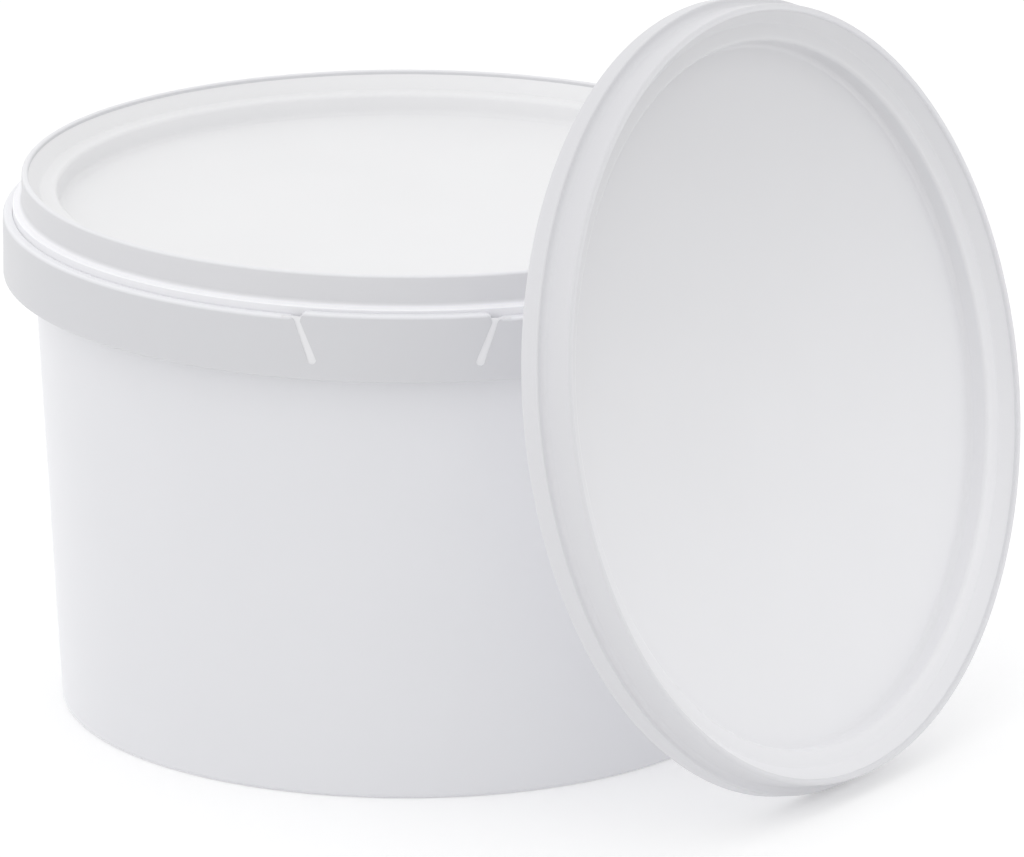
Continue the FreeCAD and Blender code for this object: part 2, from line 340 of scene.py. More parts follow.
class NodeTree:
    """The nodes of a material or of the surroundings.

    Args:
        owner: The material or world that they belong to.
    """

    def __init__(self, owner: bpy.types.Material | bpy.types.World) -> None:
        owner.use_nodes = True
        self.nodes = owner.node_tree.nodes
        self.links = owner.node_tree.links
        self.nodes.clear()

    def add(self, kind: str, inputs: dict | None = None, **options) -> bpy.types.Node:
        """Adds a node.

        Args:
            kind: Its type.
            inputs: For each input's name or number, a value to set or an output to link.
            options: Settings of the node itself, such as its operation.

        Returns:
            The new node.
        """
        node = self.nodes.new(kind)
        for option, setting in options.items():
            setattr(node, option, setting)
        for key, value in (inputs or {}).items():
            if isinstance(value, bpy.types.NodeSocket):
                self.links.new(value, node.inputs[key])
            else:
                node.inputs[key].default_value = value
        return node

    def ramp(
        self,
        value: bpy.types.NodeSocket,
        start: tuple[float, float],
        end: tuple[float, float],
        interpolation: str = "LINEAR",
    ) -> bpy.types.NodeSocket:
        """Maps a value from one range to another.

        Args:
            value: The output to map.
            start: Where the range begins, and what it gives there.
            end: Where the range ends, and what it gives there.
            interpolation: LINEAR or SMOOTHSTEP.

        Returns:
            The output with the mapped value.
        """
        node = self.add(
            "ShaderNodeMapRange",
            {
                "Value": value,
                "From Min": start[0],
                "From Max": end[0],
                "To Min": start[1],
                "To Max": end[1],
            },
            interpolation_type=interpolation,
        )
        return node.outputs["Result"]

    def scaled(
        self, colour: bpy.types.NodeSocket, factor: bpy.types.NodeSocket
    ) -> bpy.types.NodeSocket:
        """A colour multiplied by a factor."""
        node = self.add("ShaderNodeVectorMath", {0: colour, "Scale": factor}, operation="SCALE")
        return node.outputs["Vector"]


@dataclass(frozen=True)
class MouldedPlastic:
    """White polypropylene as it comes out of a mould, with painted light: a painted glow, faces
    that face up painted lighter and a painted band by height.

    Args:
        name: Name of the material.
        colour: Linear base colour.
        roughness: Mean roughness of the skin.
        roughness_spread: How far the roughness wanders over the surface.
        tint_spread: How far the lightness wanders over the surface, as a share.
        tint_scale: Clouds of lightness per metre.
        grain: Depth of the fine mould texture, in metres.
        grain_scale: Grains per metre.
        ripple: Depth of the broad sink and flow marks, in metres.
        ripple_scale: Sink and flow marks per metre.
        refraction: Index of refraction.
        shine: Strength of the mirror-like part.
        glow: Share of light that passes under the skin.
        reach: How far light travels inside the plastic, in metres.
        paint_below: Height under which the painted gain and painted glow apply, in metres, or 0
            where the painted glow covers the whole piece and no gain is painted.
        paint_fade: Height over which the painted gain and glow give way to the plain colour above,
            in metres.
        paint_gain: How much lighter or darker the thin wall under paint_below is painted: painted
            light or shade.
        painted_glow: Strength of a painted glow, an emission standing for light that comes through
            the thin wall from behind.
        painted_top_start: Upward share of the normal at which a face starts to be painted lighter,
            as a painted highlight on a rim.
        painted_top_full: Upward share of the normal at which it is painted fully lighter.
        painted_top_gain: How much lighter faces that face up are painted: a painted highlight
            standing for light that gathers on a rim.
    """

    name: str
    colour: tuple[float, float, float]
    roughness: float = 0.38
    roughness_spread: float = 0.05
    tint_spread: float = 0.015
    tint_scale: float = 45.0
    grain: float = 0.000003
    grain_scale: float = 2600.0
    ripple: float = 0.000015
    ripple_scale: float = 14.0
    refraction: float = 1.49
    shine: float = 0.35
    glow: float = 0.1
    reach: float = 0.0015
    paint_below: float = 0.0
    paint_fade: float = 0.0015
    paint_gain: float = 1.0
    painted_glow: float = 0.0
    painted_top_start: float = 0.15
    painted_top_full: float = 0.85
    painted_top_gain: float = 1.0

    def build(self) -> bpy.types.Material:
        """Makes the node tree and returns the new material."""
        material = bpy.data.materials.new(self.name)
        material.cycles.emission_sampling = "NONE"
        tree = NodeTree(material)
        place = tree.add("ShaderNodeTexCoord")
        flow = self.noise(tree, place, self.ripple_scale, detail=1.0)
        fine = self.noise(tree, place, self.grain_scale, detail=0.0)
        broad = tree.add("ShaderNodeBump", {"Distance": self.ripple, "Height": flow})
        grain = tree.add(
            "ShaderNodeBump",
            {"Distance": self.grain, "Height": fine, "Normal": broad.outputs["Normal"]},
        )
        roughness = tree.ramp(
            flow,
            (0.0, self.roughness - self.roughness_spread),
            (1.0, self.roughness + self.roughness_spread),
        )
        # The emission is a painted glow: the plastic lights itself, standing for light that comes
        # through the thin wall.
        light: bpy.types.NodeSocket | float = self.painted_glow
        if self.paint_below > 0.0:
            light = self.by_height(tree, place, self.painted_glow, 0.0)
        skin = tree.add(
            "ShaderNodeBsdfPrincipled",
            {
                "Base Color": self.tone(tree, place),
                "Roughness": roughness,
                "Normal": grain.outputs["Normal"],
                "IOR": self.refraction,
                "Specular IOR Level": self.shine,
                "Subsurface Weight": self.glow,
                "Subsurface Radius": (1.0, 1.0, 1.0),
                "Subsurface Scale": self.reach,
                "Emission Color": (*self.colour, 1.0),
                "Emission Strength": light,
            },
        )
        tree.add("ShaderNodeOutputMaterial", {"Surface": skin.outputs["BSDF"]})
        return material

    def tone(self, tree: NodeTree, place: bpy.types.Node) -> bpy.types.NodeSocket:
        """The base colour, with its random clouds, its painted highlight on faces that face up and
        the painted lightness or shade of the thin wall under paint_below.
        """
        dark = [(1.0 - self.tint_spread) * part for part in self.colour]
        pale = [(1.0 + self.tint_spread) * part for part in self.colour]
        tint = tree.add(
            "ShaderNodeMix",
            {
                "Factor": self.noise(tree, place, self.tint_scale, detail=1.0),
                "A": (*dark, 1.0),
                "B": (*pale, 1.0),
            },
            data_type="RGBA",
        )
        facing = tree.add("ShaderNodeSeparateXYZ", {"Vector": place.outputs["Normal"]})
        # Painted highlight: faces that face up get a lighter base colour, standing for light that
        # gathers on a rim.
        top_highlight = tree.ramp(
            facing.outputs["Z"], (self.painted_top_start, 1.0), (self.painted_top_full, self.painted_top_gain)
        )
        tone = tree.scaled(tint.outputs["Result"], top_highlight)
        # Painted light or shade: the colour under paint_below is painted lighter or darker by
        # paint_gain.
        if self.paint_below > 0.0:
            tone = tree.scaled(tone, self.by_height(tree, place, self.paint_gain, 1.0))
        return tone

    def by_height(
        self, tree: NodeTree, place: bpy.types.Node, thin: float, thick: float
    ) -> bpy.types.NodeSocket:
        """A value that is thin under paint_below and thick above it, blended over paint_fade; it
        carries the painted gain and glow.
        """
        split = tree.add("ShaderNodeSeparateXYZ", {"Vector": place.outputs["Object"]})
        return tree.ramp(
            split.outputs["Z"],
            (self.paint_below - self.paint_fade, thin),
            (self.paint_below, thick),
            "SMOOTHSTEP",
        )

    def noise(
        self, tree: NodeTree, place: bpy.types.Node, scale: float, detail: float
    ) -> bpy.types.NodeSocket:
        """A noise texture on object coordinates, with its waves per metre and its octaves."""
        texture = tree.add(
            "ShaderNodeTexNoise",
            {"Scale": scale, "Detail": detail, "Vector": place.outputs["Object"]},
        )
        return texture.outputs["Fac"]


@dataclass(frozen=True)
class StudioFloor:
    """White seamless floor that reads white where it is lit and keeps the object's shadow.

    Args:
        name: Name of the material.
        reflectance: Diffuse share of the floor.
        lift: Extra white that only the camera and mirror-like surfaces see.
    """

    name: str = "studio_floor"
    reflectance: float = 0.93
    lift: float = 0.185

    def build(self) -> bpy.types.Material:
        """Makes the node tree and returns the new material."""
        material = bpy.data.materials.new(self.name)
        material.cycles.emission_sampling = "NONE"
        tree = NodeTree(material)
        path = tree.add("ShaderNodeLightPath")
        looked_at = tree.add(
            "ShaderNodeMath",
            {0: path.outputs["Is Camera Ray"], 1: path.outputs["Is Glossy Ray"]},
            operation="MAXIMUM",
        )
        seen = tree.add(
            "ShaderNodeMath", {0: looked_at.outputs["Value"], 1: self.lift}, operation="MULTIPLY"
        )
        grey = (self.reflectance, self.reflectance, self.reflectance, 1.0)
        matt = tree.add("ShaderNodeBsdfDiffuse", {"Color": grey})
        light = tree.add("ShaderNodeEmission", {"Strength": seen.outputs["Value"]})
        both = tree.add(
            "ShaderNodeAddShader", {0: matt.outputs["BSDF"], 1: light.outputs["Emission"]}
        )
        tree.add("ShaderNodeOutputMaterial", {"Surface": both.outputs["Shader"]})
        return material


# Painted light and shade on the tub: the body under the collar is painted darker and given a
# painted glow, which evens out its shading, and faces that face up are painted lighter.
TUB_PLASTIC = MouldedPlastic(
    "tub_plastic",
    colour=(0.70, 0.702, 0.725),
    roughness=0.34,
    paint_below=0.0732,
    paint_gain=0.87,
    painted_glow=0.28,
    painted_top_gain=1.32,
)
# Painted glow: the webs light themselves, and are painted lighter than the tub's own plastic.
WEB_PLASTIC = MouldedPlastic(
    "thin_plastic", colour=(0.76, 0.76, 0.775), roughness=0.34, painted_glow=0.14
)
# Painted light: the skirt under 85.6 mm is painted lighter and given a painted glow against the
# shade in the corner by the collar, and faces that face up are painted lighter.
SEATED_BAND_PLASTIC = MouldedPlastic(
    "lid_band_plastic",
    colour=(0.72, 0.72, 0.74),
    paint_below=0.0856,
    paint_fade=0.0006,
    paint_gain=1.12,
    painted_glow=0.08,
    painted_top_gain=1.22,
)
# Painted light: the seated lid's panel is painted far lighter than its band, though both are the
# same plastic, lifting the shade of the recess.
SEATED_PANEL_PLASTIC = MouldedPlastic("lid_panel_plastic", colour=(0.91, 0.91, 0.92))
# Painted shade and glow on the spare lid: it takes darker copies of the same lid plastic, its band
# and underside have a painted glow, and its panel's painted glow grows towards the ground.
SPARE_BAND_PLASTIC = MouldedPlastic(
    "loose_band_plastic", colour=(0.645, 0.645, 0.665), painted_glow=0.16
)
SPARE_PANEL_PLASTIC = MouldedPlastic(
    "loose_panel_plastic",
    colour=(0.68, 0.68, 0.697),
    paint_below=0.15,
    paint_fade=0.14,
    painted_glow=0.25,
)
SPARE_BACK_PLASTIC = MouldedPlastic(
    "loose_back_plastic", colour=(0.70, 0.70, 0.715), glow=0.0, painted_glow=0.38
)


# --------------------------------------------------------------------------------------
# Pieces
# --------------------------------------------------------------------------------------


@dataclass
class Piece:
    """A finished piece of the product.

    Args:
        facets: Facets round a turned piece.
        sharp_angle: Edges steeper than this, in degrees, stay sharp.
    """

    facets: int = 240
    sharp_angle: float = 13.0

    def hand_over(
        self,
        piece: bpy.types.Object,
        material: bpy.types.Material | None,
        slot: Slot,
        node: str,
    ) -> bpy.types.Object:
        """Dresses a piece, makes it ride on the body and stand for its CAD node.

        Args:
            piece: The finished mesh.
            material: Its finish, or None where it has its finishes already.
            slot: Its material slot in the record; not used.
            node: The CAD node that it stands for.

        Returns:
            The same piece.
        """
        settle(piece)
        if material is not None:
            piece.data.materials.clear()
            piece.data.materials.append(material)
        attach(piece, "root")
        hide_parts(node)
        log.info("%s stands for %s with %d faces", piece.name, node, len(piece.data.polygons))
        return piece


@dataclass(frozen=True)
class Leaning:
    """How a lid stands against the tub.

    Args:
        lean: Lean from upright, in degrees.
        turn: Turn about the upright through its middle, anticlockwise from above, in degrees.
        slide: Way along the tub's side, in millimetres.
    """

    lean: float = 13.1
    turn: float = -2.6
    slide: float = 1.9


@dataclass
class PressLid(Piece):
    """Press-on lid with a stacking recess, in millimetres, its skirt's edge at height 0.

    From outside to inside it has a skirt, a raised lip, a sloped facet, a shelf and the recess.
    The bead is the catch inside the skirt, and the channel is the groove under the lip. A lid is
    placed by low and high, the lowest and highest corners of its CAD node.

    Args:
        panel_inset: How far inside the lip's inner face the finish of the panel starts.
        facing_share: Share of a face's normal from which it counts as facing that way.
    """

    height: float = 8.4
    wall: float = 1.0
    lip_radius: float = 63.4
    lip_width: float = 1.1
    lip_round: float = 0.5
    lip_inner_round: float = 0.4
    skirt_radius: float = 64.9
    skirt_wall: float = 1.1
    skirt_height: float = 3.2
    skirt_fillet: float = 1.0
    flare_height: float = 1.6
    facet_drop: float = 2.05
    facet_width: float = 1.9
    shelf_depth: float = 2.75
    shelf_width: float = 2.9
    recess_depth: float = 6.3
    recess_draft: float = 0.15
    recess_edge_round: float = 0.8
    recess_fillet: float = 1.0
    channel_rise: float = 0.25
    flare_gap: float = 0.2
    flare_setback: float = 0.3
    bead_height: float = 0.7
    bead_half: float = 0.4
    bead_depth: float = 0.45
    bead_round: float = 0.25
    panel_inset: float = 0.01
    facing_share: float = 0.3

    def section(self) -> list[Vector]:
        """Half section of the lid, from the axis underneath to the axis on top."""
        lip_inner = self.lip_radius - self.lip_width
        skirt_inner = self.skirt_radius - self.skirt_wall
        shelf = self.height - self.shelf_depth
        shelf_outer = lip_inner - self.facet_width
        recess = shelf_outer - self.shelf_width
        floor_radius = recess - self.recess_draft
        panel = self.height - self.recess_depth
        under = panel - self.wall
        flare_top = self.skirt_height + self.flare_height
        corners = [
            Corner(0.0, under),
            Corner(floor_radius + self.wall, under, EASY),
            Corner(recess + self.wall, shelf - self.wall, SOFT),
            Corner(shelf_outer + self.wall / 2, shelf - self.wall, SOFT),
            Corner(lip_inner - self.wall / 2, shelf + self.channel_rise),
            Corner(lip_inner, shelf + self.channel_rise),
            Corner(lip_inner, flare_top + self.flare_gap, FULL),
            Corner(skirt_inner, self.skirt_height - self.flare_setback, FULL),
            Corner(skirt_inner, self.bead_height + self.bead_half, CRISP),
            Corner(skirt_inner - self.bead_depth, self.bead_height, self.bead_round),
            Corner(skirt_inner, self.bead_height - self.bead_half, CRISP),
            Corner(skirt_inner, 0.0, CRISP),
            Corner(self.skirt_radius, 0.0, NEAT),
            Corner(self.skirt_radius, self.skirt_height, SOFT),
            Corner(self.lip_radius, self.skirt_height, self.skirt_fillet),
            Corner(self.lip_radius, self.height, self.lip_round),
            Corner(lip_inner, self.height, self.lip_inner_round),
            Corner(lip_inner, shelf + self.facet_drop, NEAT),
            Corner(shelf_outer, shelf, EASY),
            Corner(recess, shelf, self.recess_edge_round),
            Corner(floor_radius, panel, self.recess_fillet),
            Corner(0.0, panel),
        ]
        return rounded(corners)

    def build(
        self,
        name: str,
        band: bpy.types.Material,
        panel: bpy.types.Material,
        back: bpy.types.Material,
    ) -> bpy.types.Object:
        """Turns a lid, lying flat on the ground at the origin.

        Args:
            name: Name of the piece.
            band: Finish of the band and the skirt.
            panel: Finish of what lies inside the lip on top, painted lighter than the band: painted
                light.
            back: Finish of the underside; on the spare lid it has a painted glow of its own.

        Returns:
            The finished lid.
        """
        lid = turn(name, self.section(), self.facets)
        smooth(lid, self.sharp_angle)
        lid.data.materials.clear()
        for finish in (band, panel, back):
            lid.data.materials.append(finish)
        # Faces inside the lip are split into the top panel and the underside, so that the same
        # plastic takes painted light apart from the band.
        inner = (self.lip_radius - self.lip_width - self.panel_inset) * MM
        limit = self.facing_share
        for face in lid.data.polygons:
            radius = math.hypot(face.center.x, face.center.y)
            outward = face.center.x * face.normal.x + face.center.y * face.normal.y
            on_top = face.normal.z > limit or outward < -limit * radius
            if radius < inner:
                face.material_index = 1 if on_top else 2
        return lid

    def press_on(self, lid: bpy.types.Object, low: Vector, high: Vector) -> None:
        """Lifts a lid into its place on the rim."""
        middle = (low + high) / 2
        shift(lid, Vector((middle.x, middle.y, low.z)))

    def lean_back(self, lid: bpy.types.Object, low: Vector, high: Vector, leaning: Leaning) -> None:
        """Stands a lid on its skirt's edge, leaning back towards the tub."""
        swing(lid, "Y", 90.0 - leaning.lean)
        swing(lid, "Z", leaning.turn)
        places = [vertex.co for vertex in lid.data.vertices]
        mine_low = Vector([min(place[axis] for place in places) for axis in range(3)])
        mine_high = Vector([max(place[axis] for place in places) for axis in range(3)])
        middle = (low + high) / 2 - (mine_low + mine_high) / 2
        along = middle.y + leaning.slide * MM
        shift(lid, Vector((high.x - mine_high.x, along, low.z - mine_low.z)))


@dataclass(frozen=True)
class TearTab:
    """The tab in the collar, with a slanted notch at each end, in millimetres.

    A web is the thin skin that closes a notch and tears with the tab. The scoop is the crescent
    under the tab's top edge. Heights of the notches and webs are above the collar's bottom edge.

    Args:
        rise_angle: Half of the arc of the collar that is raised by the rise, in degrees.
        rise_start: Height above the ledge from which vertices are raised.
        rise_margin: How far inside the collar's inner face a vertex may lie and still be raised.
        notch_reach: How far a notch's cutter stands out of the collar.
        notch_over: How far it stands above the collar.
        web_inset: How far a web lies under the collar's face.
        web_foot: How far it starts below the foot of the notch.
        scoop_reach: Share of the tab's half width that the scoop's cutter spans.
    """

    azimuth: float = -58.9
    top_half_width: float = 15.1
    foot_half_width: float = 12.8
    rise: float = 0.8
    rise_angle: float = 14.0
    rise_start: float = 0.5
    rise_margin: float = 0.02
    notch_width: float = 1.4
    notch_foot: float = 2.7
    notch_reach: float = 2.0
    notch_over: float = 3.0
    mouth_round: float = 1.1
    corner_round: float = 1.5
    arc_steps: int = 10
    web_inset: float = 0.15
    web_wall: float = 0.5
    web_half_width: float = 2.6
    web_foot: float = 0.3
    web_top_gap: float = 0.02
    web_cuts: int = 5
    scoop_height: float = 2.1
    scoop_depth: float = 0.7
    scoop_reach: float = 1.2
    scoop_wall: float = 6.0
    scoop_rise: float = 8.0
    scoop_steps: int = 48


@dataclass
class Tub(Piece):
    """The tub: foot, wall, collar, rim and tear tab, in millimetres, its foot at height 0.

    Under the base lie the gate in the middle, a flat panel and a shallow ring inside the foot.
    The bead is the catch on the rim. The loops keep the long walls in even bands. Its pieces are
    placed by low and high, the lowest and highest corners of the tub's CAD node.
    """

    gate_radius: float = 2.2
    gate_edge: float = 2.6
    gate_height: float = 1.0
    base_radius: float = 38.0
    base_height: float = 1.4
    base_round: float = 0.4
    ring_radius: float = 39.0
    ring_height: float = 0.9
    foot_radius: float = 57.24
    foot_width: float = 3.2
    foot_slope: float = 0.45
    foot_inner_round: float = 0.25
    foot_round: float = 0.95
    wall_draft: float = 3.2
    wall_loops: tuple[float, ...] = (20.0, 40.0, 60.0)
    wall_fillet: float = 0.6
    ledge: float = 81.6
    ledge_wall: float = 1.0
    collar_radius: float = 66.5
    collar_wall: float = 1.57
    collar_bottom: float = 73.2
    collar_top: float = 83.6
    collar_loops: tuple[float, ...] = (76.0, 79.0, 81.0)
    collar_bottom_round: float = 0.15
    collar_top_round: float = 0.7
    collar_inner_round: float = 0.06
    rim_radius: float = 62.1
    rim_wall: float = 1.2
    rim_foot_radius: float = 63.1
    rim_top: float = 86.25
    bead_rise: float = 2.1
    bead_half: float = 0.7
    bead_depth: float = 0.5
    bead_shoulder: float = 1.7
    fill: float = 82.7
    rib_count: int = 24
    rib_wall: float = 1.0
    rib_setback: float = 2.4
    rib_bite: float = 0.4
    rib_round: float = 0.12
    rib_clearance: float = 3.4
    tab: TearTab = TearTab()

    def wall_radius(self, height: float) -> float:
        """Outer radius of the drafted wall at a height."""
        return self.foot_radius + height * math.tan(math.radians(self.wall_draft))

    def section(self) -> list[Vector]:
        """Half section of the tub, from the axis under the base to the axis under the lid."""
        collar_inner = self.collar_radius - self.collar_wall
        under_ledge = self.ledge - self.ledge_wall
        foot_inner = self.foot_radius - self.foot_width
        rim_foot = self.rim_foot_radius
        rim_inner = self.rim_radius - self.rim_wall
        bead = self.ledge + self.bead_rise
        corners = [
            Corner(0.0, self.gate_height),
            Corner(self.gate_radius, self.gate_height, NEAT),
            Corner(self.gate_edge, self.base_height, NEAT),
            Corner(self.base_radius, self.base_height, self.base_round),
            Corner(self.ring_radius, self.ring_height, self.base_round),
            Corner(foot_inner - self.foot_slope, self.ring_height, self.base_round),
            Corner(foot_inner, 0.0, self.foot_inner_round),
            Corner(self.foot_radius, 0.0, self.foot_round),
            *[Corner(self.wall_radius(height), height) for height in self.wall_loops],
            Corner(self.wall_radius(under_ledge), under_ledge, self.wall_fillet),
            Corner(collar_inner, under_ledge, EASY),
            Corner(collar_inner, self.collar_bottom, self.collar_bottom_round),
            Corner(self.collar_radius, self.collar_bottom, SOFT),
            *[Corner(self.collar_radius, height) for height in self.collar_loops],
            Corner(self.collar_radius, self.collar_top, self.collar_top_round),
            Corner(collar_inner, self.collar_top, self.collar_inner_round),
            Corner(collar_inner, self.ledge, NEAT),
            Corner(rim_foot, self.ledge, NEAT),
            Corner(rim_foot, bead - self.bead_half, CRISP),
            Corner(rim_foot + self.bead_depth, bead, SOFT),
            Corner(rim_foot, bead + self.bead_half, CRISP),
            Corner(self.rim_radius, bead + self.bead_shoulder, SOFT),
            Corner(self.rim_radius, self.rim_top, SOFT),
            Corner(rim_inner, self.rim_top, SOFT),
            Corner(rim_inner, self.fill, NEAT),
            Corner(0.0, self.fill),
        ]
        return rounded(corners)

    def build_body(self, low: Vector, high: Vector) -> bpy.types.Object:
        """Turns the tub with its tear tab facing +X and puts it in its place."""
        tub = turn("tub_body", self.section(), self.facets)
        self.raise_tab(tub)
        for side in Side:
            subtract(tub, self.notch(side))
        subtract(tub, self.scoop())
        smooth(tub, self.sharp_angle)
        self.put(tub, low, high)
        return tub

    def put(self, piece: bpy.types.Object, low: Vector, high: Vector) -> None:
        """Turns a piece from the tab's frame to its azimuth and moves it to the tub's axis."""
        swing(piece, "Z", self.tab.azimuth)
        middle = (low + high) / 2
        shift(piece, Vector((middle.x, middle.y, 0.0)))

    def raise_tab(self, tub: bpy.types.Object) -> None:
        """Lifts the collar's top edge along the tab."""
        reach = math.radians(self.tab.rise_angle) + ANGLE_SLACK
        low = (self.ledge + self.tab.rise_start) * MM
        near = (self.collar_radius - self.collar_wall - self.tab.rise_margin) * MM

        def on_tab(place: Vector) -> bool:
            """Whether a vertex belongs to the collar's top over the tab."""
            far = math.hypot(place.x, place.y)
            return place.z > low and far > near and abs(math.atan2(place.y, place.x)) < reach

        make_active(tub)
        bpy.ops.object.mode_set(mode="EDIT")
        select_vertices(tub, on_tab)
        bpy.ops.transform.translate(value=(0.0, 0.0, self.tab.rise * MM))
        bpy.ops.object.mode_set(mode="OBJECT")

    def flat_prism(
        self, name: str, outline: list[tuple[float, float]], near: float, far: float
    ) -> bpy.types.Object:
        """Pushes a closed outline on the tab's own plane out between two radii.

        Args:
            name: Name of the prism.
            outline: Places across the tab and up, in millimetres, in order.
            near: Radius of its near face, in millimetres.
            far: Radius of its far face, in millimetres.

        Returns:
            The prism.
        """
        points = [Vector((near * MM, across * MM, height * MM)) for across, height in outline]
        prism = grow_outline(name, points)
        bpy.ops.mesh.select_all(action="SELECT")
        bpy.ops.mesh.edge_face_add()
        push = ((far - near) * MM, 0.0, 0.0)
        bpy.ops.mesh.extrude_region_move(TRANSFORM_OT_translate={"value": push})
        bpy.ops.mesh.select_all(action="SELECT")
        bpy.ops.mesh.normals_make_consistent(inside=False)
        bpy.ops.object.mode_set(mode="OBJECT")
        return prism

    def notch(self, side: Side) -> bpy.types.Object:
        """The slanted slot beside the tab, with a round foot and rounded mouth corners."""
        tab = self.tab
        top = self.collar_top + tab.notch_over
        raised = self.collar_top + tab.rise
        half = tab.notch_width / 2
        foot = self.collar_bottom + tab.notch_foot + half
        slant = (tab.top_half_width - tab.foot_half_width) / (self.collar_top - foot)
        mouth = self.collar_top - tab.mouth_round
        outer = tab.foot_half_width + tab.notch_width + slant * (mouth - foot)
        outer_corner = outer + tab.mouth_round
        inner = tab.foot_half_width + slant * (raised - foot)
        inner_corner = inner - tab.corner_round
        quarter = math.pi / 2
        steps = tab.arc_steps
        outline = arc(tab.foot_half_width + half, foot, half, math.pi, math.pi, steps)
        outline += arc(outer_corner, mouth, tab.mouth_round, math.pi, -quarter, steps)
        outline += [(outer_corner, top), (inner_corner, top)]
        corner_height = raised - tab.corner_round
        outline += arc(inner_corner, corner_height, tab.corner_round, quarter, -quarter, steps)
        mirrored = [(side.value * across, height) for across, height in outline]
        edge = tab.top_half_width + tab.mouth_round + tab.notch_width
        near = math.sqrt((self.collar_radius - self.collar_wall) ** 2 - edge**2)
        return self.flat_prism("notch_cutter", mirrored, near, self.collar_radius + tab.notch_reach)

    def scoop(self) -> bpy.types.Object:
        """Leaning drum-shaped cutter for the crescent under the tab's top edge."""
        tab = self.tab
        top = self.collar_top + tab.rise
        half = tab.top_half_width
        bulge = self.collar_radius - math.sqrt(self.collar_radius**2 - half**2)
        sag = bulge - tab.scoop_depth
        radius = (half**2 + sag**2) / (2 * sag)
        low = top - tab.scoop_height
        lean = math.atan2(tab.scoop_depth, tab.scoop_height)
        reach = tab.scoop_reach * half / radius
        deselect_all()
        bpy.ops.mesh.primitive_plane_add(size=1.0)
        cutter = bpy.context.object
        cutter.name = "scoop_cutter"
        bpy.ops.object.mode_set(mode="EDIT")
        bpy.ops.mesh.select_all(action="SELECT")
        bpy.ops.transform.resize(value=(tab.scoop_wall * MM, tab.scoop_rise * MM, 1.0))
        turn_selected("X", math.pi / 2)
        bpy.ops.transform.translate(
            value=((radius + tab.scoop_wall / 2) * MM, 0.0, tab.scoop_rise / 2 * MM)
        )
        turn_selected("Z", reach)
        bpy.ops.mesh.select_all(action="SELECT")
        bpy.ops.mesh.spin(
            steps=tab.scoop_steps,
            angle=2 * reach,
            center=(0.0, 0.0, 0.0),
            axis=(0.0, 0.0, 1.0),
        )
        bpy.ops.mesh.select_all(action="SELECT")
        bpy.ops.mesh.remove_doubles(threshold=WELD)
        bpy.ops.mesh.normals_make_consistent(inside=False)
        bpy.ops.object.mode_set(mode="OBJECT")
        shift(cutter, Vector((-radius * MM, 0.0, 0.0)))
        swing(cutter, "Y", -math.degrees(lean))
        shift(cutter, Vector((self.collar_radius * MM, 0.0, low * MM)))
        return cutter

    def build_web(self, side: Side, low: Vector, high: Vector) -> bpy.types.Object:
        """The thin skin that closes the notch at one end of the tab."""
        tab = self.tab
        foot = self.collar_bottom + tab.notch_foot - tab.web_foot
        half = tab.web_half_width
        slant = (tab.top_half_width - tab.foot_half_width) / (self.collar_top - foot)
        far = self.collar_radius - tab.web_inset
        middle = tab.foot_half_width + tab.notch_width / 2
        top = self.collar_top - tab.web_top_gap
        rise = top - foot
        outline = [
            (side.value * (middle - half), foot),
            (side.value * (middle + half), foot),
            (side.value * (middle + half + slant * rise), top),
            (side.value * (middle - half + slant * rise), top),
        ]
        web = self.flat_prism(f"{side.name.lower()}_web", outline, 0.0, 1.0)
        make_active(web)
        bpy.ops.object.mode_set(mode="EDIT")
        bpy.ops.mesh.select_all(action="SELECT")
        bpy.ops.mesh.subdivide(number_cuts=tab.web_cuts)
        bpy.ops.object.mode_set(mode="OBJECT")
        for vertex in web.data.vertices:
            radius = (far - tab.web_wall * (1.0 - vertex.co.x / MM)) * MM
            vertex.co.x = math.sqrt(radius**2 - vertex.co.y**2)
        self.put(web, low, high)
        return web

    def build_ribs(self, low: Vector, high: Vector) -> bpy.types.Object:
        """The ribs under the ledge as one piece, one made and the others copied round the tub."""
        foot = self.collar_bottom + self.rib_setback
        top = self.ledge - self.ledge_wall / 2
        inner = self.wall_radius(foot) - self.rib_bite
        outer = self.collar_radius - self.collar_wall + self.rib_bite
        deselect_all()
        bpy.ops.mesh.primitive_cube_add(size=1.0)
        rib = bpy.context.object
        rib.name = "collar_ribs"
        bpy.ops.object.mode_set(mode="EDIT")
        bpy.ops.mesh.select_all(action="SELECT")
        size = Vector((outer - inner, self.rib_wall, top - foot))
        bpy.ops.transform.resize(value=size * MM)
        bpy.ops.transform.translate(value=((outer + inner) / 2 * MM, 0.0, (top + foot) / 2 * MM))
        bpy.ops.object.mode_set(mode="OBJECT")
        bend = rib.modifiers.new("bend", "BEVEL")
        bend.width = self.rib_round * MM
        bend.segments = 2
        bpy.ops.object.modifier_apply(modifier=bend.name)
        pitch = 360.0 / self.rib_count
        free = math.degrees((self.tab.top_half_width + self.rib_clearance) / self.collar_radius)
        around = [(number + 0.5) * pitch for number in range(self.rib_count)]
        turns = [angle for angle in around if free < angle < 360.0 - free]
        copies = []
        for angle in turns[1:]:
            copy = rib.copy()
            copy.data = rib.data.copy()
            bpy.context.scene.collection.objects.link(copy)
            swing(copy, "Z", angle)
            copies.append(copy)
        swing(rib, "Z", turns[0])
        make_active(rib)
        for copy in copies:
            copy.select_set(True)
        bpy.ops.object.join()
        self.put(rib, low, high)
        return rib


# --------------------------------------------------------------------------------------
# Studio
# --------------------------------------------------------------------------------------


